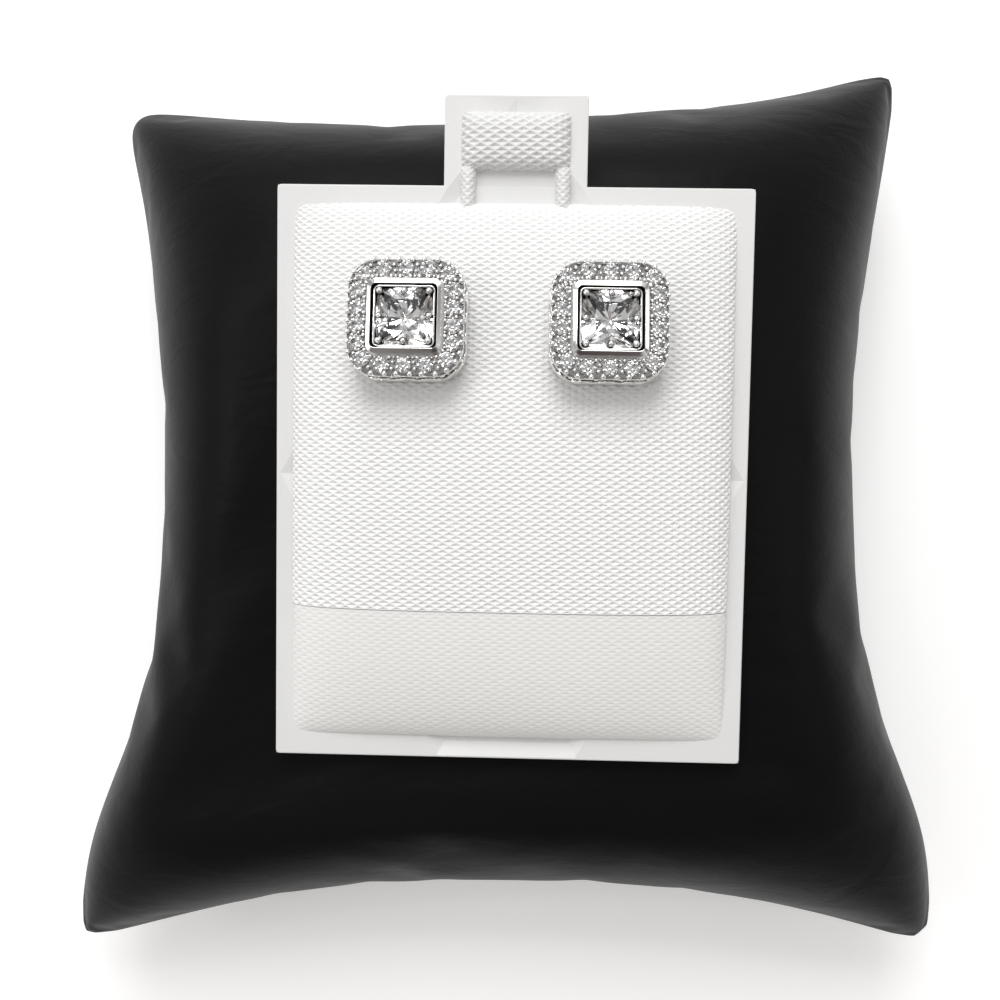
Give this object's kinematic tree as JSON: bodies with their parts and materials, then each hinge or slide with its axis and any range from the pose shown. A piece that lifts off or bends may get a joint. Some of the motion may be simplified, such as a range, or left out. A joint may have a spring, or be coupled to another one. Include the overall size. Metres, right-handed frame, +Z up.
{
  "type": "stud earrings on a puffed card and display pillow",
  "caption": "Square halo stud earrings with a brilliant-cut centre, pinned on a white puffed card with a hanging tab, lying on a small black display pillow.",
  "frame": {"origin": "on the surface that the pillow lies on, under the middle of the part's box", "axes": "+Z up out of the earrings' faces, +Y towards the card's tab, +X towards the right earring"},
  "size_m": [0.0852, 0.0866, 0.0361],
  "materials": {
    "bright_silver": "bright polished rhodium-white silver",
    "crystal": "clear cut stone, polished facets",
    "white_leatherette": "white leatherette over a formed shell, pressed with small lozenges, satin",
    "black_leatherette": "black leatherette, fine grain, soft sheen"
  },
  "bodies": {
    "root": {"pillow": "black_leatherette", "card": "white_leatherette", "left_setting": "bright_silver", "left_centre_stone": "crystal", "left_halo_stone_01": "crystal", "left_halo_stone_02": "crystal", "left_halo_stone_03": "crystal", "left_halo_stone_04": "crystal", "left_halo_stone_05": "crystal", "left_halo_stone_06": "crystal", "left_halo_stone_07": "crystal", "left_halo_stone_08": "crystal", "left_halo_stone_09": "crystal", "left_halo_stone_10": "crystal", "left_halo_stone_11": "crystal", "left_halo_stone_12": "crystal", "left_halo_stone_13": "crystal", "left_halo_stone_14": "crystal", "left_halo_stone_15": "crystal", "left_halo_stone_16": "crystal", "left_halo_stone_17": "crystal", "left_halo_stone_18": "crystal", "left_clutch": "bright_silver", "right_setting": "bright_silver", "right_centre_stone": "crystal", "right_halo_stone_01": "crystal", "right_halo_stone_02": "crystal", "right_halo_stone_03": "crystal", "right_halo_stone_04": "crystal", "right_halo_stone_05": "crystal", "right_halo_stone_06": "crystal", "right_halo_stone_07": "crystal", "right_halo_stone_08": "crystal", "right_halo_stone_09": "crystal", "right_halo_stone_10": "crystal", "right_halo_stone_11": "crystal", "right_halo_stone_12": "crystal", "right_halo_stone_13": "crystal", "right_halo_stone_14": "crystal", "right_halo_stone_15": "crystal", "right_halo_stone_16": "crystal", "right_halo_stone_17": "crystal", "right_halo_stone_18": "crystal", "right_clutch": "bright_silver"}
  },
  "joints": []
}
